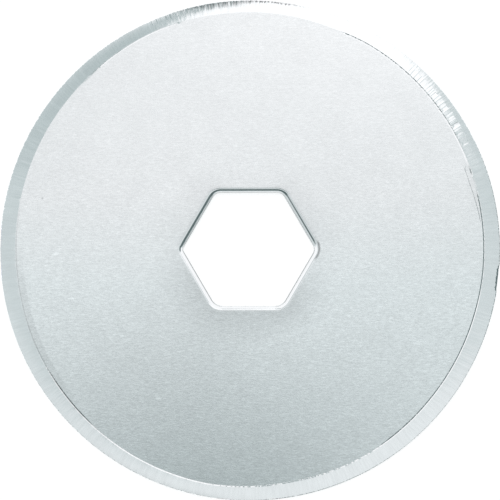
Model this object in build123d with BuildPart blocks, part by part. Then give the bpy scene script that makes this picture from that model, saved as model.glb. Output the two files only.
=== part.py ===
from build123d import *
import os
from math import atan2, cos, degrees, hypot, radians, sin, tan

# Rotary cutter blade: one disc of thin hardened steel sheet, ground to a knife edge
# all the way round, with a punched hexagonal hole that seats on the cutter's hub.
# Millimetres. The blade lies flat: the underside is on z = 0, the axis of the hole
# is the Z axis, and two corners of the hexagon point along X.

# The sheet and the finished disc
blade_diameter = 28.0
sheet_thickness = 0.30
grinding_stock = 0.25         # left round the stamped blank, and ground away with the bevels

# The double-ground cutting edge, half of it on each side of the sheet
bevel_width = 0.82            # mean width of a bevel, in plan, from the cutting edge
bevel_crown_angle = 5.0       # the bevel's slope falls by this much from its edge to its root
hone_width = 0.05             # the steeper facet that the last, fine wheel leaves at the edge
hone_angle = 18.0             # slope of that facet

# The blank ran slightly out of square on the grinding arbor, so the upper bevel is
# widest on one side of the disc and the lower bevel is widest on the other.
grind_tilt = 0.06             # degrees
grind_tilt_heading = -53.0    # where the upper bevel is widest, in degrees from +X

# The punched hole
hole_across_flats = 6.45
hole_corner_radius = 0.50
roll_width = 0.27             # the sheet is drawn down this far round the punch's entry
roll_depth = 0.135            # and sinks this deep at the wall of the hole
burr_break = 0.03             # the exit burr, taken off as a small chamfer

# Overlap of a cutting body past the face that it cuts
cut_overlap = 0.1

blade_radius = blade_diameter / 2
half_sheet = sheet_thickness / 2

# Section of one ground side, drawn from the cutting edge inwards and upwards. The
# bevel is an arc: its chord runs from the hone's shoulder to the root on the face.
hone_rise = hone_width * tan(radians(hone_angle))
bevel_run = bevel_width - hone_width
bevel_rise = half_sheet - hone_rise
bevel_slope = degrees(atan2(bevel_rise, bevel_run))
bevel_chord = hypot(bevel_run, bevel_rise)
bevel_radius = bevel_chord / 2 / sin(radians(bevel_crown_angle / 2))
shoulder_slope = radians(bevel_slope + bevel_crown_angle / 2)

# The grinding arbor's frame: its Z axis leans towards the heading of the widest bevel
arbor_seat = Location((0, 0, half_sheet), (0, 0, grind_tilt_heading))
arbor = Plane(arbor_seat * Location((0, 0, 0), (0, grind_tilt, 0)))
section_plane = Plane(origin=arbor.origin, x_dir=arbor.x_dir, z_dir=-arbor.y_dir)
arbor_axis = Axis(arbor.origin, arbor.z_dir)

hole_apothem = hole_across_flats / 2

with BuildPart() as blade:
    # The stamped blank
    with BuildSketch(Plane.XY):
        Circle(blade_radius + grinding_stock)
    extrude(amount=sheet_thickness)

    # Both bevels and the cutting edge: the blank keeps what lies inside one turned,
    # lens-like body, whose two sides are mirror images in the arbor's own plane.
    with BuildSketch(section_plane):
        with BuildLine():
            hone = Line(
                (blade_radius, 0),
                (blade_radius - hone_width, hone_rise),
            )
            bevel = JernArc(
                start=hone @ 1,
                tangent=(-cos(shoulder_slope), sin(shoulder_slope)),
                radius=bevel_radius,
                arc_size=bevel_crown_angle,
            )
            past_the_face = PolarLine(start=bevel @ 1, length=bevel_width, direction=bevel % 1)
            Polyline(
                past_the_face @ 1,
                (blade_radius - 2 * bevel_width, sheet_thickness),
                (0, sheet_thickness),
                (0, 0),
                hone @ 0,
            )
        make_face()
        mirror(about=Plane.XZ)
    revolve(axis=arbor_axis, mode=Mode.INTERSECT)

    # The hexagonal hole, punched from above
    with BuildSketch(Plane.XY.offset(sheet_thickness)):
        hexagon = RegularPolygon(hole_apothem, side_count=6, major_radius=False)
        fillet(hexagon.vertices(), radius=hole_corner_radius)
    extrude(amount=-sheet_thickness, mode=Mode.SUBTRACT)

    # The rolled-over rim at the punch's entry: an arc that leaves the face level and
    # steepens down to the wall, drawn at the middle of the +Y flat and carried round
    # the hexagon.
    upper_face = blade.faces().filter_by(Axis.Z).sort_by(Axis.Z)[-1]
    hole_rim = upper_face.inner_wires()[0]
    with BuildSketch(Plane.YZ):
        with BuildLine():
            roll = TangentArc(
                (hole_apothem + roll_width, sheet_thickness),
                (hole_apothem, sheet_thickness - roll_depth),
                tangent=(-1, 0),
            )
            Polyline(
                roll @ 1,
                (hole_apothem - cut_overlap, sheet_thickness - roll_depth),
                (hole_apothem - cut_overlap, sheet_thickness + cut_overlap),
                (hole_apothem + roll_width, sheet_thickness + cut_overlap),
                roll @ 0,
            )
        make_face()
    sweep(path=hole_rim, mode=Mode.SUBTRACT)

    # The exit burr is broken all round the underside of the hole
    underside = blade.faces().filter_by(Axis.Z).sort_by(Axis.Z)[0]
    chamfer(underside.inner_wires()[0].edges(), length=burr_break)

blade.part.label = "blade"

os.makedirs("parts", exist_ok=True)
export_step(blade.part, "parts/blade.step")
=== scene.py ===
import math
import bpy
import numpy as np
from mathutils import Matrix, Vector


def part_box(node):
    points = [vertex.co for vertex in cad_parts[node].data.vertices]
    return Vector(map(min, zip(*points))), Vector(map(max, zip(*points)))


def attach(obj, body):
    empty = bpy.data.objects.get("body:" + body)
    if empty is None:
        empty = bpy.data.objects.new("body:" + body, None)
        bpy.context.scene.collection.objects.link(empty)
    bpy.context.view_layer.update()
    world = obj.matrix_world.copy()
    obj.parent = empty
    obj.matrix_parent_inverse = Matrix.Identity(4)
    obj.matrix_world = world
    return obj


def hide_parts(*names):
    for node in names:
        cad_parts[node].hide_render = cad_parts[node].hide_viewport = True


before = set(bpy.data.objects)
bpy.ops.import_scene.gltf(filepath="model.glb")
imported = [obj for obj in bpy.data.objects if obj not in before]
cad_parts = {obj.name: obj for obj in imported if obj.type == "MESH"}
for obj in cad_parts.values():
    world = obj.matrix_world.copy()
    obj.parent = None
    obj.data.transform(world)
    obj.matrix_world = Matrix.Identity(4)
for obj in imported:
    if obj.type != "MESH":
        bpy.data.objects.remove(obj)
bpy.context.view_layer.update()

# The blade: one disc of hardened carbon steel sheet. Its hexagonal hole is punched from
# above, which rolls the hole's rim down, and the disc is then ground to a cutting edge
# from both sides on an arbor, so the grinding marks run outwards along the radius.
mm = 0.001
degree = math.pi / 180
low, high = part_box("blade")
blade_radius = (high.x - low.x) / 2
sheet = high.z - low.z
circumference = 2 * math.pi * blade_radius

# Its surface is a grid: rings round the axis, and columns at even headings from +X
columns = 2560
column = np.arange(columns)
column_width = circumference / columns
heading = np.linspace(0, 2 * math.pi, columns, endpoint=False)
from_top = np.mod(90 - np.degrees(heading) + 180, 360) - 180   # degrees, clockwise from +Y
chance = np.random.default_rng(28)


def ripple(shortest, longest):
    """Random waviness round the edge, of unit size: a sum of sines, one for each whole number
    of waves between circumference / longest and circumference / shortest, in random phases."""
    waves = np.arange(round(circumference / longest), round(circumference / shortest) + 1)
    phases = chance.uniform(0, 2 * math.pi, len(waves))
    sines = np.cos(waves[:, None] * heading + phases[:, None])
    return sines.sum(0) * math.sqrt(2 / len(waves))


def stretch(start, end, fade):
    """A mask round the edge: 1 between two headings, in degrees clockwise from +Y, and 0
    outside. At each end it climbs over the fade's length as step * step * (3 - 2 * step)."""
    middle = (start + end) / 2
    away = np.abs(np.mod(from_top - middle + 180, 360) - 180)
    step = np.clip(((end - start) / 2 + fade / 2 - away) / fade, 0, 1)
    return step * step * (3 - 2 * step)


# The hole: a hexagon with two corners along X. The punch draws the sheet down in a roll that
# ends in a lip, and below the lip the sheared wall leans in towards its straight foot.
hole_apothem = 3.225 * mm
hole_across = 0.985             # its size along Y, across the grain, as a share of a true hexagon's
corner_radii = np.array([0.45, 0.50, 0.50, 0.25, 0.70, 0.70]) * mm   # every 60 degrees from +X
roll_width = 0.23 * mm
roll_steepest = 45 * degree     # the roll's slope where it meets the lip
roll_fall_off = 1.9
roll_rings = 11
wall_lean = 0.035 * mm          # the lip stands back this far from the foot
upper_lean = 0.032 * mm         # and this much further on the two slanting sides towards +Y
wall_foot = 0.09 * mm           # the wall is straight below this height
burr_break = 0.03 * mm          # the exit burr, taken off round the underside
upper_sides = stretch(32, 86, 8) + stretch(-86, -32, 8)
lower_sides = stretch(92, 148, 8) + stretch(-148, -92, 8)
bottom_side = stretch(153, 207, 6)
lip = wall_lean * (1 - 0.8 * bottom_side) + upper_lean * upper_sides
roll_share = 1 + 0.08 * upper_sides


def hexagon_reach(offset):
    """Distance from the axis to the hole's outline, moved outwards by the offset: a flat is
    apothem / cos(angle from its middle), and a corner is the far side of its round."""
    nearest = np.rint(heading / (math.pi / 3))
    corner_radius = corner_radii[nearest.astype(int) % 6]
    aside = heading - nearest * math.pi / 3
    turn = math.pi / 6 - np.abs(aside)
    centre = (hole_apothem - corner_radius) / math.cos(math.pi / 6)
    inside = (corner_radius + offset) ** 2 - (centre * np.sin(aside)) ** 2
    corner = centre * np.cos(aside) + np.sqrt(np.maximum(inside, 0))
    flat = (hole_apothem + offset) / np.cos(turn)
    flat_half = (hole_apothem - corner_radius) * math.tan(math.pi / 6)
    return np.where((hole_apothem + offset) * np.tan(turn) < flat_half, flat, corner)


def roll_drop(distance):
    """How far the sheet is drawn down at a distance from the lip: the slope's angle is
    steepest * (1 - (distance / width) ** fall_off), and its tangent is summed in 400 steps."""
    steps = np.linspace(0, roll_width, 400)
    fall = np.tan(roll_steepest * (1 - (steps / roll_width) ** roll_fall_off)) * steps[1]
    return np.interp(distance, steps, fall.sum() - np.cumsum(fall))


# The cutting edge: the blank's tilt on the arbor lifts it on one side. It is worn slightly
# ragged, with one small chip at the right, and a fine wheel has honed a steeper facet on it.
grind_tilt = 0.06 * degree
tilt_heading = -60 * degree     # where the edge is lowest and the upper bevel is widest
wear_depth = 0.0025 * mm
chip_depth = 0.035 * mm
chip_sink = 0.012 * mm          # the chip's edge is bent down by this much
chip_facet = 0.075 * mm         # and its broken face is this much wider than the hone
hone_width = 0.026 * mm
hone_slope = 21 * degree
edge_height = sheet / 2 - math.tan(grind_tilt) * blade_radius * np.cos(heading - tilt_heading)
edge_wear = np.maximum(0, wear_depth * (1.2 + ripple(0.10 * mm, 0.6 * mm)))
chip = stretch(94, 99.5, 1.5)
edge_radius = blade_radius - edge_wear - chip_depth * chip
top_of_edge = stretch(-16, 11, 8)
hone_reach = hone_width * np.clip(1 + 0.5 * ripple(0.12 * mm, 1.5 * mm), 0.3, 2.2)
hone_reach = hone_reach * (1 - 0.6 * stretch(176, 262, 10) + 0.8 * top_of_edge) + chip_facet * chip

# The bevels: a crowned slope on each side, from the hone's shoulder to the root on the face.
# The upper root also strays from an even curve: each pair below is a heading, in degrees
# clockwise from +Y, and how far it lies outwards there, in thousandths of a millimetre.
bevel_width = 0.785 * mm
bevel_crown = 0.24              # how much steeper than its chord a bevel is at its shoulder
tilt_shift = 0.078 * mm         # the tilt widens a bevel on one side and narrows it opposite
bow_shift = 0.077 * mm          # the sheet's bow widens it on the left and right
root_shifts = (
    (-170, 66), (-150, 22), (-130, -25), (-115, -35), (-102, -72), (-45, -68), (-35, -20),
    (-28, 2), (-22, 16), (-17, -2), (-12, -44), (-8, -60), (5, -60), (20, -95), (29, 0),
    (40, 22), (60, 34), (95, 36), (130, 0), (150, 26), (170, -35))
shift_headings, shifts = np.transpose(root_shifts)
root_wander = 0.001 * mm * np.interp(from_top, shift_headings, shifts, period=360)

# The wheel's marks: fine waves across each bevel, half as deep on the left of the top
mark_depth = 0.0006 * mm
marks_climb = 2.2               # they reach their full depth at 1 / 2.2 of the bevel's width
wheel_marks = mark_depth * (ripple(0.16 * mm, 0.5 * mm) + 1.5 * ripple(0.5 * mm, 3 * mm))
wheel_marks = wheel_marks * (1 - 0.5 * stretch(-32, -8, 6))

# Where the wheel chattered it cut flat steps, each a ramp that sinks along the edge and ends
# in a sharp return.
chatter = stretch(42.5, 69, 3)
step_slope = 0.040              # of the steepest ramp
step_starts = np.cumsum(chance.integers(4, 10, columns))      # a step is 4 to 9 columns long
step_number = np.searchsorted(step_starts, column, side="right")
step_edge = np.isin(column, step_starts) | np.isin(column + 1, step_starts)
step_slopes = step_slope * chance.uniform(0.1, 1, columns)[step_number]
step_run = column - np.concatenate([[0], step_starts])[step_number]
steps_cut = step_slopes * step_run * column_width * chatter
steps_end = chance.uniform(0.34, 0.48, columns)[step_number]

# On the far side of the top it left random scores beside the edge: deep ones on a share of
# the columns, and roughness on all. They fade out towards the root.
deep_score = 0.0045 * mm
deep_share = 0.2
score_roughness = 0.0014 * mm
scores_fade = 0.3
scores_cut = deep_score * (chance.random(columns) < deep_share)
scores_cut = (scores_cut + score_roughness * chance.normal(size=columns)) * stretch(-24, -2, 4)
scores_end = np.interp(from_top, (-24, -12, -2), (0.75, 0.60, 0.40))


def bevel_root(side):
    """Radius where a bevel meets its face, on the upper side (1) or the lower side (-1): the
    blade's radius less the bevel's width, less side * tilt shift * cos(angle from the tilt's
    heading) and bow shift * cos(2 * heading), and above it strays as the pairs say."""
    shift = -side * tilt_shift * np.cos(heading - tilt_heading) - bow_shift * np.cos(2 * heading)
    return blade_radius - bevel_width + shift + root_wander * (side > 0)


def half_height(side):
    """Height from the cutting edge to the face on that side: the sheet less the edge's height
    above, and the edge's height below."""
    return np.where(side > 0, sheet - edge_height, edge_height)


def bevel_surface(along, side):
    """A bevel from its shoulder (along 0) to its root (along 1). Its height is that of the mean
    hone plus rise * share * (1 + crown * (1 - share)), where the share of the bevel's width is
    counted from the mean hone, and the marks, steps and scores are cut into it."""
    shoulder = edge_radius - hone_reach
    radius = shoulder + (bevel_root(side) - shoulder) * along
    share = (edge_radius - hone_width - radius) / (edge_radius - hone_width - bevel_root(side))
    rise = half_height(side) - hone_width * np.tan(hone_slope)
    climb = hone_width * np.tan(hone_slope) + rise * share * (1 + bevel_crown * (1 - share))
    marks = wheel_marks * np.clip(marks_climb * along, 0, 1)
    marks = marks + steps_cut * (along > steps_end)
    marks = marks + scores_cut * np.clip((scores_end - along) / scores_fade, 0, 1)
    return radius, edge_height + side * (climb - marks * (along < 1))


# The groove that the wheel's corner scored along the upper root. Its two flanks vary in width
# round the disc. It runs out at the top and on the left, and nearly so where the fine line
# begins.
groove_depth = 0.028 * mm
root = bevel_root(1)
top_right = stretch(12, 70, 4)
bottom = stretch(146, 222, 8)
inner_flank = mm * (0.062 + 0.028 * top_right - 0.045 * bottom + 0.028 * stretch(-30, -8, 10))
frayed = (1 + stretch(12, 61, 4) * ripple(0.15 * mm, 0.8 * mm)).clip(-0.5, 2)
outer_flank = 0.042 - 0.028 * stretch(-60, 10, 6) + 0.015 * bottom - 0.010 * stretch(-32, -10, 6)
outer_flank = mm * (outer_flank - 0.012 * top_right * frayed - 0.016 * stretch(74, 102, 8))
groove_start = root - inner_flank - outer_flank
groove_cut = 1 - stretch(-17, 24, 2) - stretch(-120, -40, 16) - 0.75 * stretch(72, 76, 3)
even = stretch(60, 74, 4) + stretch(-34, -8, 4)      # where its depth hardly varies
groove_share = groove_cut * (1 + 0.12 * (1 - 0.85 * even) * ripple(0.15 * mm, 0.8 * mm))

# On the right the first pass of the wheel left a finer line further in, and from its bottom
# a shallow facet rises to the groove.
line_width = 0.034 * mm
line_depth = 0.0125 * mm
line_gap = 0.004 * mm
line_cut = 1.35 * stretch(69.5, 83, 2)
facet_width = 0.21 * mm * stretch(69, 88, 2) * np.clip((86 - from_top) / 12, 0, 1)
line_bottom = groove_start - facet_width - line_gap

# Painted shade and darkening, from 0 to 1: a dark arc over the roll's outer end at the right-hand corner,
# a darker face below the hole, and painted shade: painted shade that deepens outwards over the roll's
# upper sides, a band of painted shade beside the root and a line in its groove on the left, and painted
# shade in the lip and the wall of the lower sides and on the top of the edge.
# A dark arc over the roll's outer end at the right-hand corner
right_corner_arc = stretch(83.5, 98.5, 4)
arc_shares = [0.0] * (roll_rings - 2) + [0.4, 0.8]
# A darker face below the hole, from 0 to 1
below_hole_darkening = stretch(118, 262, 50)
# Painted shade over the outer part of the roll on the hole's upper sides, deepening outwards
painted_roll_shade = 0.15 * (stretch(22, 84, 12) + stretch(-84, -22, 12))
# Painted shade beside the bevel's root on the left: a faint band on the face and a darker line in the
# groove's bottom
painted_root_band_shade = 0.12 * stretch(-128, -94, 16) * (1 + 0.15 * ripple(0.2 * mm, 2 * mm))
painted_groove_shade = np.interp(from_top, (-146, -131, -118, -104, -90, -76), (0.05, 0.5, 0.45, 0.36, 0.34, 0))
# Painted shade in the hole's lip and at the wall's foot on the lower sides
painted_lip_shade = 0.33 * lower_sides
painted_foot_shade = 0.47 * lower_sides
# Painted shade on the top of the cutting edge, uneven along it
painted_edge_shade = top_of_edge * np.clip(0.75 + 0.5 * ripple(0.15 * mm, 0.8 * mm), 0, 1)

# The rings of the blade's surface, from the hole's lip outwards over the upper face, round
# the cutting edge, and back inwards to the hole's wall. Each has the finish of the band
# that lies between it and the next ring.
rolled, ground, punched, burnished = range(4)
near_hole = 5.4 * mm
mid_face = 9 * mm
shade_band_start = 0.46 * mm          # the painted shade beside the root begins this far in from it
shade_band_full = 0.385 * mm          # and is full from here on
rings = []


def ring(radius, height, finish, shade_and_darkening=0.0, crease=False, across=1.0):
    """Adds one closed ring of points, where x is radius * cos(heading) and y is across *
    radius * sin(heading), and gives its number."""
    level = np.zeros(columns)
    points = np.stack([radius * np.cos(heading), across * radius * np.sin(heading), height + level], -1)
    rings.append((points, finish + level.astype(int), shade_and_darkening + level, crease))
    return len(rings) - 1


for distance, arc_share in zip(np.linspace(0, roll_width, roll_rings), arc_shares):
    at_lip = distance == 0
    at_face = distance == roll_width
    shade = arc_share * right_corner_arc + 0.24 * below_hole_darkening * at_face + painted_roll_shade * (distance / roll_width) ** 4
    ring(hexagon_reach(lip + distance * roll_share), sheet - roll_drop(distance),
         rolled if at_face else burnished, shade + painted_lip_shade * at_lip,
         crease=at_lip, across=hole_across)
beside_roll = hexagon_reach(lip + roll_width * roll_share + 0.12 * mm)
ring(beside_roll, sheet, rolled, 0.21 * below_hole_darkening + 0.5 * painted_roll_shade, across=hole_across)
ring(near_hole, sheet, rolled, 0.072 * below_hole_darkening * stretch(190, 240, 50))
ring(mid_face, sheet, rolled, 0.0405 * below_hole_darkening * stretch(185, 240, 50))
ring(root - shade_band_start, sheet, rolled)
ring(root - shade_band_full, sheet, rolled, painted_root_band_shade)
ring(line_bottom - line_width * np.clip(line_cut, 0.1, 1), sheet, rolled, painted_root_band_shade, crease=True)
ring(line_bottom, sheet - line_depth * line_cut, rolled, painted_root_band_shade, crease=True)
in_groove = np.where(groove_cut > 0.5, ground, rolled)
ring(groove_start, sheet, in_groove, painted_root_band_shade, crease=True)
ring(root - outer_flank, sheet - groove_depth * groove_share, in_groove, painted_groove_shade, crease=True)

root_ring = ring(*bevel_surface(1, 1), ground, crease=True)
for along in (0.95, 0.75, 0.55):
    ring(*bevel_surface(along, 1), ground)
# Painted shade on the bevel's outer rings and the steps' ends at the top of the edge
painted_step_shade = 0.28 * stretch(-9.5, -2.5, 2) * painted_edge_shade
step_foot_ring = ring(*bevel_surface(steps_end + 0.01, 1), ground, painted_step_shade)
step_end_ring = ring(*bevel_surface(steps_end, 1), ground, painted_step_shade)
ring(*bevel_surface(0.28, 1), ground, 0.38 * stretch(-10.5, -2, 2) * painted_edge_shade)
ring(*bevel_surface(0.14, 1), ground, 0.52 * stretch(-12, 1, 3) * painted_edge_shade)
ring(*bevel_surface(0, 1), ground, (0.75 + 0.3 * stretch(1, 12, 3)) * painted_edge_shade, crease=True)
ring(edge_radius, edge_height - chip_sink * chip, ground, crease=True)
for along in (0, 0.4, 0.8):
    ring(*bevel_surface(along, -1), ground, crease=along == 0)
ring(*bevel_surface(1, -1), rolled, crease=True)
ring(mid_face, 0, rolled)
ring(hexagon_reach(burr_break), 0, punched, crease=True, across=hole_across)
ring(hexagon_reach(0), burr_break, punched, crease=True, across=hole_across)
ring(hexagon_reach(0), wall_foot, punched, painted_foot_shade, crease=True, across=hole_across)

points, finishes, shade_and_darkening, creases = [np.array(each) for each in zip(*rings)]
this_ring, this_column = np.meshgrid(np.arange(len(rings)), column, indexing="ij")
next_ring = (this_ring + 1) % len(rings)
next_column = (this_column + 1) % columns
quads = np.stack([this_ring * columns + this_column, next_ring * columns + this_column,
                  next_ring * columns + next_column, this_ring * columns + next_column], -1)

blade_mesh = bpy.data.meshes.new("ground_blade")
blade_mesh.from_pydata(points.reshape(-1, 3).tolist(), [], quads.reshape(-1, 4).tolist())
blade_mesh.update()
blade_mesh.polygons.foreach_set("use_smooth", np.ones(len(blade_mesh.polygons), bool))
blade_mesh.polygons.foreach_set("material_index", finishes.ravel())
blade_mesh.attributes.new("shade_and_darkening", "FLOAT", "POINT").data.foreach_set("value", shade_and_darkening.ravel())

# Sharp edges run round the creased rings, and along the sides and ends of the chatter steps
end_points = np.zeros(len(blade_mesh.edges) * 2, int)
blade_mesh.edges.foreach_get("vertices", end_points)
end_rings, end_columns = np.divmod(end_points.reshape(-1, 2), columns)
on_ring = end_rings[:, 0] == end_rings[:, 1]
on_column = end_columns[:, 0] == end_columns[:, 1]
sharp = on_ring & creases[end_rings[:, 0]]
on_steps = (end_rings >= root_ring).all(1) & (end_rings <= step_foot_ring).all(1)
sharp = sharp | (on_steps & on_column & step_edge[end_columns[:, 0]])
on_step_ends = (end_rings >= step_foot_ring).all(1) & (end_rings <= step_end_ring).all(1)
sharp = sharp | (on_step_ends & on_ring & (chatter[end_columns[:, 0]] > 0))
blade_mesh.attributes.new("sharp_edge", "BOOLEAN", "EDGE").data.foreach_set("value", sharp)
blade = bpy.data.objects.new("ground_blade", blade_mesh)
bpy.context.scene.collection.objects.link(blade)


def feed(tree, source, socket):
    """Links a socket to another socket, or sets it to a plain value."""
    if isinstance(source, bpy.types.NodeSocket):
        tree.links.new(source, socket)
    else:
        socket.default_value = source


def calculate(tree, operation, first, second=None):
    """The number that one Math node gives."""
    node = tree.nodes.new("ShaderNodeMath")
    node.operation = operation
    feed(tree, first, node.inputs[0])
    if second is not None:
        feed(tree, second, node.inputs[1])
    return node.outputs[0]


def calculate_vector(tree, operation, first, second=None, scale=None):
    """The vector, or for LENGTH the number, that one Vector Math node gives."""
    node = tree.nodes.new("ShaderNodeVectorMath")
    node.operation = operation
    feed(tree, first, node.inputs[0])
    if second is not None:
        feed(tree, second, node.inputs[1])
    if scale is not None:
        feed(tree, scale, node.inputs["Scale"])
    return node.outputs["Value" if operation == "LENGTH" else "Vector"]


def axes_of(tree, vector):
    """The X, Y and Z of a vector."""
    node = tree.nodes.new("ShaderNodeSeparateXYZ")
    tree.links.new(vector, node.inputs[0])
    return node.outputs


def ramp(tree, value, start, end, first=0.0, last=1.0, interpolation="LINEAR"):
    """A number that goes from first to last while the value goes from start to end."""
    node = tree.nodes.new("ShaderNodeMapRange")
    node.interpolation_type = interpolation
    feed(tree, value, node.inputs["Value"])
    feed(tree, start, node.inputs["From Min"])
    feed(tree, end, node.inputs["From Max"])
    feed(tree, first, node.inputs["To Min"])
    feed(tree, last, node.inputs["To Max"])
    return node.outputs["Result"]


def lay_over(tree, mask, under, over):
    """One colour laid over another where the mask is 1."""
    node = tree.nodes.new("ShaderNodeMix")
    node.data_type = "RGBA"
    feed(tree, mask, node.inputs["Factor"])
    feed(tree, under, node.inputs["A"])
    feed(tree, over, node.inputs["B"])
    return node.outputs["Result"]


def noise_of(tree, vector, detail, roughness):
    """The value of a noise texture whose features are one unit of the vector wide."""
    node = tree.nodes.new("ShaderNodeTexNoise")
    node.inputs["Scale"].default_value = 1
    node.inputs["Detail"].default_value = detail
    node.inputs["Roughness"].default_value = roughness
    tree.links.new(vector, node.inputs["Vector"])
    return node.outputs["Fac"]


def new_group(name, inputs, outputs):
    """An empty shader node group, with the sockets that it is given and those that it fills.
    An input without a value is a vector, and every other socket is a number."""
    group = bpy.data.node_groups.new(name, "ShaderNodeTree")
    for label, value in inputs.items():
        if value is None:
            group.interface.new_socket(label, in_out="INPUT", socket_type="NodeSocketVector")
        else:
            socket = group.interface.new_socket(label, in_out="INPUT", socket_type="NodeSocketFloat")
            socket.default_value = value
    for label in outputs:
        group.interface.new_socket(label, in_out="OUTPUT", socket_type="NodeSocketFloat")
    start = group.nodes.new("NodeGroupInput")
    end = group.nodes.new("NodeGroupOutput")
    return group, start.outputs, end.inputs


def place_group(tree, group, values):
    """Puts a node group in a material, with its own values, and gives what it puts out."""
    node = tree.nodes.new("ShaderNodeGroup")
    node.node_tree = group
    for label, value in values.items():
        feed(tree, value, node.inputs[label])
    return node.outputs


# Rolling grain: short scores along X that the rolling mill and the polishing belt leave, with
# bright flecks and fine specks. It shows most towards -Y. Pitches are features per metre.
score_pitch = (3600, 13500, 1000)
speck_pitch = (13000, 16000, 1000)
fleck_start = 0.10
speck_strength = 0.8
rolling_grain, given, made = new_group("rolling_grain", {"Vector": None, "Amount": 0.3}, ["Tone", "Height"])
scaled = calculate_vector(rolling_grain, "MULTIPLY", given["Vector"], score_pitch)
coarse = noise_of(rolling_grain, scaled, detail=2, roughness=0.6)
scores = calculate(rolling_grain, "SUBTRACT", coarse, 0.5)
flecks = calculate(rolling_grain, "MAXIMUM", calculate(rolling_grain, "SUBTRACT", scores, fleck_start), 0.0)
scaled = calculate_vector(rolling_grain, "MULTIPLY", given["Vector"], speck_pitch)
fine = noise_of(rolling_grain, scaled, detail=1, roughness=0.5)
specks = calculate(rolling_grain, "MULTIPLY", calculate(rolling_grain, "SUBTRACT", fine, 0.5), speck_strength)
lift = calculate(rolling_grain, "ADD", calculate(rolling_grain, "ADD", scores, flecks), specks)
towards_top = axes_of(rolling_grain, given["Vector"])["Y"]
strength = ramp(rolling_grain, towards_top, start=8 * mm, end=-4 * mm, first=0.70, last=1.45)
lift = calculate(rolling_grain, "MULTIPLY", lift, strength)
tone = calculate(rolling_grain, "MULTIPLY", lift, given["Amount"])
feed(rolling_grain, calculate(rolling_grain, "ADD", tone, 1.0), made["Tone"])
feed(rolling_grain, fine, made["Height"])

# Clouding: the faint uneven tone that washing and oiling leave on bare steel
steel_clouding, given, made = new_group(
    "steel_clouding", {"Vector": None, "Size": 2 * mm, "Amount": 0.1}, ["Tone"])
per_metre = calculate(steel_clouding, "DIVIDE", 1.0, given["Size"])
scaled = calculate_vector(steel_clouding, "SCALE", given["Vector"], scale=per_metre)
cloud = noise_of(steel_clouding, scaled, detail=4, roughness=0.6)
lift = calculate(steel_clouding, "SUBTRACT", cloud, 0.5)
tone = calculate(steel_clouding, "MULTIPLY", lift, given["Amount"])
feed(steel_clouding, calculate(steel_clouding, "ADD", tone, 1.0), made["Tone"])

# Radial marks: scores that run outwards from the axis, as the wheel and the punch leave. They
# are noise at the direction from the axis times the marks per metre times the radius, moved
# along Z by the distance from the axis over the run of one mark.
radial_marks, given, made = new_group(
    "radial_marks", {"Vector": None, "Per metre": 8000.0, "Run": 1 * mm, "Radius": 14 * mm}, ["Height"])
flat = calculate_vector(radial_marks, "MULTIPLY", given["Vector"], (1, 1, 0))
outward = calculate_vector(radial_marks, "NORMALIZE", flat)
size = calculate(radial_marks, "MULTIPLY", given["Per metre"], given["Radius"])
circle = calculate_vector(radial_marks, "SCALE", outward, scale=size)
reach = calculate_vector(radial_marks, "LENGTH", given["Vector"])
runs = radial_marks.nodes.new("ShaderNodeCombineXYZ")
feed(radial_marks, calculate(radial_marks, "DIVIDE", reach, given["Run"]), runs.inputs["Z"])
spot = calculate_vector(radial_marks, "ADD", circle, runs.outputs[0])
feed(radial_marks, noise_of(radial_marks, spot, detail=3, roughness=0.7), made["Height"])

# A soft ellipse, for short marks on the face and for the studio's panels of light
soft_ellipse, given, made = new_group(
    "soft_ellipse",
    {"X": 0.0, "Y": 0.0, "Centre X": 0.0, "Centre Y": 0.0,
     "Half width": 0.5, "Half height": 0.5, "Softness": 0.1},
    ["Mask"])
squares = []
for axis, half in (("X", "Half width"), ("Y", "Half height")):
    offset = calculate(soft_ellipse, "SUBTRACT", given[axis], given["Centre " + axis])
    share = calculate(soft_ellipse, "DIVIDE", offset, given[half])
    squares.append(calculate(soft_ellipse, "MULTIPLY", share, share))
away = calculate(soft_ellipse, "SQRT", calculate(soft_ellipse, "ADD", *squares))
outside = calculate(soft_ellipse, "ADD", 1.0, given["Softness"])
inside = calculate(soft_ellipse, "SUBTRACT", 1.0, given["Softness"])
feed(soft_ellipse, ramp(soft_ellipse, away, outside, inside, interpolation="SMOOTHSTEP"), made["Mask"])


def steel_finish(name, colour, roughness):
    """A bare steel material, added to the blade's mesh. Gives its node tree, its shader and
    the Object coordinates."""
    material = bpy.data.materials.new(name)
    material.use_nodes = True
    blade_mesh.materials.append(material)
    tree = material.node_tree
    steel = tree.nodes["Principled BSDF"]
    steel.inputs["Metallic"].default_value = 1.0
    steel.inputs["Base Color"].default_value = (*colour, 1)
    steel.inputs["Roughness"].default_value = roughness
    place = tree.nodes.new("ShaderNodeTexCoord")
    return tree, steel, place.outputs["Object"]


def darkening_tone(tree):
    """A tone that falls from 1 where nothing is painted to the darkest on full painted shade or darkening."""
    darkest = 0.15
    shade_and_darkening_value = tree.nodes.new("ShaderNodeAttribute")
    shade_and_darkening_value.attribute_name = "shade_and_darkening"
    loss = calculate(tree, "MULTIPLY", shade_and_darkening_value.outputs["Fac"], 1 - darkest)
    return calculate(tree, "SUBTRACT", 1.0, loss)


def tint(tree, steel, colour, tones):
    """Sets the base colour: the colour times each tone in turn."""
    product = tones[0]
    for tone in tones[1:]:
        product = calculate(tree, "MULTIPLY", product, tone)
    tree.links.new(calculate_vector(tree, "SCALE", colour, scale=product), steel.inputs["Base Color"])


def rough_up(tree, steel, height, depth):
    """A bump of that depth in metres from a height between 0 and 1."""
    bump = tree.nodes.new("ShaderNodeBump")
    bump.inputs["Strength"].default_value = 1.0
    bump.inputs["Distance"].default_value = depth
    tree.links.new(height, bump.inputs["Height"])
    tree.links.new(bump.outputs["Normal"], steel.inputs["Normal"])
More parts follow.
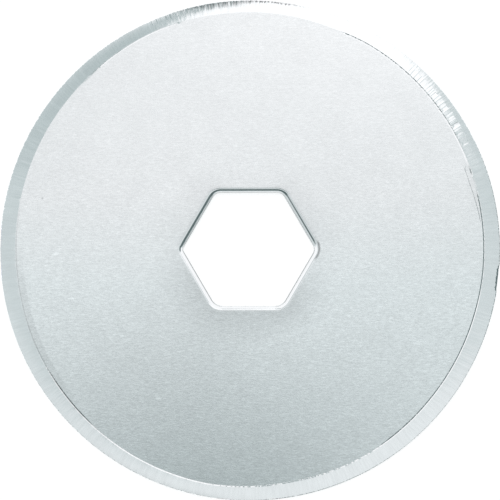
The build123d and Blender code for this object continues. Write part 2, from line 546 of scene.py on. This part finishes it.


# Rolled face: satin, with the grain along X. It is painted cooler towards -Y, a painted tint for the cooler
# reflection there, and it has five small marks, each with its place, half length and half height in mm and
# its gain.
face_colour = (0.785, 0.795, 0.795)
upper_face_colour = (0.789, 0.795, 0.795, 1)
painted_cool_cast_colour = (0.762, 0.795, 0.795, 1)
face_marks = (
    (-11.58, 2.86, 0.06, 0.06, -0.25),
    (-5.02, -8.33, 0.15, 0.045, 0.25),
    (-10.81, -0.26, 0.13, 0.07, 0.14),
    (-9.96, -2.76, 0.17, 0.045, 0.20),
    (-3.75, -11.26, 0.15, 0.035, 0.15))
tree, steel, place = steel_finish("rolled_face", face_colour, 0.25)
grain = place_group(tree, rolling_grain, {"Vector": place, "Amount": 0.29})
cloud = place_group(tree, steel_clouding, {"Vector": place, "Size": 1.8 * mm, "Amount": 0.10})
axes = axes_of(tree, place)
marked = 1.0
for x, y, length, height, gain in face_marks:
    mark = place_group(tree, soft_ellipse, {
        "X": axes["X"], "Y": axes["Y"], "Centre X": x * mm, "Centre Y": y * mm,
        "Half width": length * mm, "Half height": height * mm, "Softness": 0.5})
    marked = calculate(tree, "ADD", calculate(tree, "MULTIPLY", mark["Mask"], gain), marked)
# Painted reflection tint: the face's colour turns cooler towards -Y
cool_cast = ramp(tree, axes["Y"], 3 * mm, -2 * mm)
colour = lay_over(tree, cool_cast, upper_face_colour, painted_cool_cast_colour)
tint(tree, steel, colour, [grain["Tone"], cloud["Tone"], darkening_tone(tree), marked])
rough_up(tree, steel, grain["Height"], 0.0015 * mm)

# Ground bevel: brighter and smoother than the face, with the wheel's marks
bevel_colour = (0.800, 0.815, 0.815)
streak_low = 0.89
streak_range = 0.22
tree, steel, place = steel_finish("ground_bevel", bevel_colour, 0.14)
marks = place_group(
    tree, radial_marks, {"Vector": place, "Per metre": 7000.0, "Run": 1.2 * mm, "Radius": 14 * mm})
cloud = place_group(tree, steel_clouding, {"Vector": place, "Size": 1.0 * mm, "Amount": 0.08})
streaks = calculate(tree, "ADD", streak_low, calculate(tree, "MULTIPLY", marks["Height"], streak_range))
tint(tree, steel, bevel_colour, [cloud["Tone"], streaks, darkening_tone(tree)])
rough_up(tree, steel, marks["Height"], 0.0008 * mm)

# Punched wall: scored through the sheet by the punch
wall_colour = (0.62, 0.64, 0.64)
tree, steel, place = steel_finish("punched_wall", wall_colour, 0.38)
marks = place_group(
    tree, radial_marks, {"Vector": place, "Per metre": 14000.0, "Run": 0.4 * mm, "Radius": 3.4 * mm})
cloud = place_group(tree, steel_clouding, {"Vector": place, "Size": 0.6 * mm, "Amount": 0.3})
tint(tree, steel, wall_colour, [cloud["Tone"], darkening_tone(tree)])
rough_up(tree, steel, marks["Height"], 0.006 * mm)

# Burnished rim: the roll that the punch has drawn down and rubbed smooth
rim_colour = (0.785, 0.800, 0.800)
tree, steel, place = steel_finish("burnished_rim", rim_colour, 0.10)
cloud = place_group(tree, steel_clouding, {"Vector": place, "Size": 0.6 * mm, "Amount": 0.10})
tint(tree, steel, rim_colour, [cloud["Tone"], darkening_tone(tree)])

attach(blade, "root")
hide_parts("blade")

# The table: a white card that the blade lies on. To the camera and in the steel it shows
# near white by itself, and what light falls on it adds the rest, less the blade's shadow.
floor_half = 2.0
card_colour = (0.9, 0.9, 0.9, 1)
seen_colour = (0.5, 0.5, 0.5, 1)
own_light = 0.65
floor_mesh = bpy.data.meshes.new("table_card")
floor_mesh.from_pydata([(-floor_half, -floor_half, 0), (floor_half, -floor_half, 0),
                        (floor_half, floor_half, 0), (-floor_half, floor_half, 0)], [], [(0, 1, 2, 3)])
floor = bpy.data.objects.new("table_card", floor_mesh)
bpy.context.scene.collection.objects.link(floor)
card = bpy.data.materials.new("white_card")
card.use_nodes = True
floor_mesh.materials.append(card)
tree = card.node_tree
tree.nodes.clear()
seen = tree.nodes.new("ShaderNodeLightPath")
straight = calculate(tree, "MAXIMUM", seen.outputs["Is Camera Ray"], seen.outputs["Is Glossy Ray"])
straight = calculate(tree, "MAXIMUM", straight, seen.outputs["Is Transmission Ray"])
lit = tree.nodes.new("ShaderNodeBsdfDiffuse")
lit.inputs["Color"].default_value = card_colour
shaded = tree.nodes.new("ShaderNodeBsdfDiffuse")
shaded.inputs["Color"].default_value = seen_colour
own = tree.nodes.new("ShaderNodeEmission")
own.inputs["Strength"].default_value = own_light
both = tree.nodes.new("ShaderNodeAddShader")
tree.links.new(shaded.outputs[0], both.inputs[0])
tree.links.new(own.outputs[0], both.inputs[1])
choice = tree.nodes.new("ShaderNodeMixShader")
tree.links.new(straight, choice.inputs[0])
tree.links.new(lit.outputs[0], choice.inputs[1])
tree.links.new(both.outputs[0], choice.inputs[2])
output = tree.nodes.new("ShaderNodeOutputMaterial")
tree.links.new(choice.outputs[0], output.inputs["Surface"])

# The studio: a pale room with panels of light and of shade in a plane overhead, each laid over
# those before it. A panel has its level, its centre, its half size and its softness. Places
# and sizes are tangents of the angle from straight up: X to the right, Y up the picture.
room_level = 1.20
horizon = 0.05                  # nearer the horizon than this, the plane has ended
panels = {
    "the dimmer wall in front": (0.85, (0.0, -6.0), (14.0, 5.5), 0.10),
    "the dark doorway in it": (0.17, (0.4, -2.7), (4.2, 2.3), 0.12),
    "the dark corner beside the doorway": (0.20, (1.95, -0.25), (1.10, 1.10), 0.12),
    "the ceiling": (0.74, (-0.02, 0.02), (0.84, 0.84), 0.08),
    "a lamp on the right": (0.83, (0.62, -0.03), (0.30, 0.25), 0.50),
    "a lamp on the left": (0.87, (-0.80, -0.24), (0.27, 0.36), 0.50),
    "a reflector in front": (0.99, (0.20, -0.60), (0.84, 0.40), 0.32),
    "a gap beside the reflector": (0.90, (-0.28, -0.46), (0.14, 0.13), 0.70),
    "an overhead lamp": (1.03, (-0.10, 0.14), (0.41, 0.28), 0.40),
    "the middle of its glow": (1.12, (-0.18, 0.12), (0.14, 0.13), 0.80),
    "the lamp's dimmer lower right": (0.95, (0.12, -0.08), (0.08, 0.07), 0.90),
    "a dim corner of the ceiling": (0.66, (-0.51, 0.26), (0.19, 0.19), 0.55),
    "a dimmer corner behind it": (0.61, (-0.31, 0.50), (0.19, 0.17), 0.60),
    "the ceiling's paler left": (0.78, (-0.60, 0.04), (0.15, 0.20), 0.45),
    "the shade left of the softbox": (0.66, (-0.35, 0.71), (0.13, 0.10), 0.50),
    "the ceiling's paler right": (0.77, (0.60, 0.16), (0.12, 0.06), 0.60),
    "the camera": (0.27, (-0.08, -0.27), (0.22, 0.155), 0.55),
    "a glow at the softbox's lower right": (0.89, (0.515, 0.262), (0.080, 0.058), 0.60),
    "the round softbox": (1.32, (0.15, 0.545), (0.355, 0.375), 0.03),
    "the foot of its stand": (0.40, (-0.17, 1.03), (0.135, 0.32), 0.20)}
world = bpy.data.worlds.new("studio")
bpy.context.scene.world = world
world.use_nodes = True
tree = world.node_tree
tree.nodes.clear()
direction = tree.nodes.new("ShaderNodeTexCoord")
parts = axes_of(tree, direction.outputs["Generated"])
up = calculate(tree, "MAXIMUM", parts["Z"], horizon)
plane_x = calculate(tree, "DIVIDE", parts["X"], up)
plane_y = calculate(tree, "DIVIDE", parts["Y"], up)


def studio_colour(level):
    """A panel's colour, cooler the weaker it is: its red is the level times 0.985 - 0.22 *
    lack - 0.05 * lack * lack, where the lack is what the level is short of 1.1."""
    lack = 1.1 - level
    return (level * min(1, 0.985 - 0.22 * lack - 0.05 * lack * lack), level, level * 1.02, 1)


light = studio_colour(room_level)
for name, (level, centre, half, softness) in panels.items():
    panel = place_group(tree, soft_ellipse, {
        "X": plane_x, "Y": plane_y, "Centre X": centre[0], "Centre Y": centre[1],
        "Half width": half[0], "Half height": half[1], "Softness": softness})
    panel["Mask"].node.label = name
    light = lay_over(tree, panel["Mask"], light, studio_colour(level))

seen = tree.nodes.new("ShaderNodeLightPath")
lit = tree.nodes.new("ShaderNodeBackground")
tree.links.new(light, lit.inputs["Color"])
plain = tree.nodes.new("ShaderNodeBackground")
plain.inputs["Color"].default_value = (1, 1, 1, 1)
choice = tree.nodes.new("ShaderNodeMixShader")
tree.links.new(seen.outputs["Is Camera Ray"], choice.inputs[0])
tree.links.new(lit.outputs[0], choice.inputs[1])
tree.links.new(plain.outputs[0], choice.inputs[2])
output = tree.nodes.new("ShaderNodeOutputWorld")
tree.links.new(choice.outputs[0], output.inputs["Surface"])

# The camera: it looks down from a little right of the blade's axis and in front of it, and
# the disc all but fills its square frame.
picture_width = 27.983 * mm     # what the frame spans at the middle of the sheet
lens = 85.0
sensor = 36.0
lean = 1.95 * degree            # away from the blade's axis
lean_heading = -41.5 * degree
aim = np.array([0.074 * mm, -0.043 * mm, sheet / 2])
aside = math.sin(lean)
back = np.array([aside * math.cos(lean_heading), aside * math.sin(lean_heading), math.cos(lean)])
camera_data = bpy.data.cameras.new("camera")
camera_data.lens = lens
camera_data.sensor_width = sensor
camera_data.clip_start = 0.002
camera_data.clip_end = 20
camera = bpy.data.objects.new("camera", camera_data)
camera.location = aim + back * picture_width * lens / sensor
camera.rotation_euler = (-math.asin(back[1]), math.atan2(back[0], back[2]), 0)
bpy.context.scene.collection.objects.link(camera)
bpy.context.scene.camera = camera
bpy.context.scene.view_settings.view_transform = "Standard"
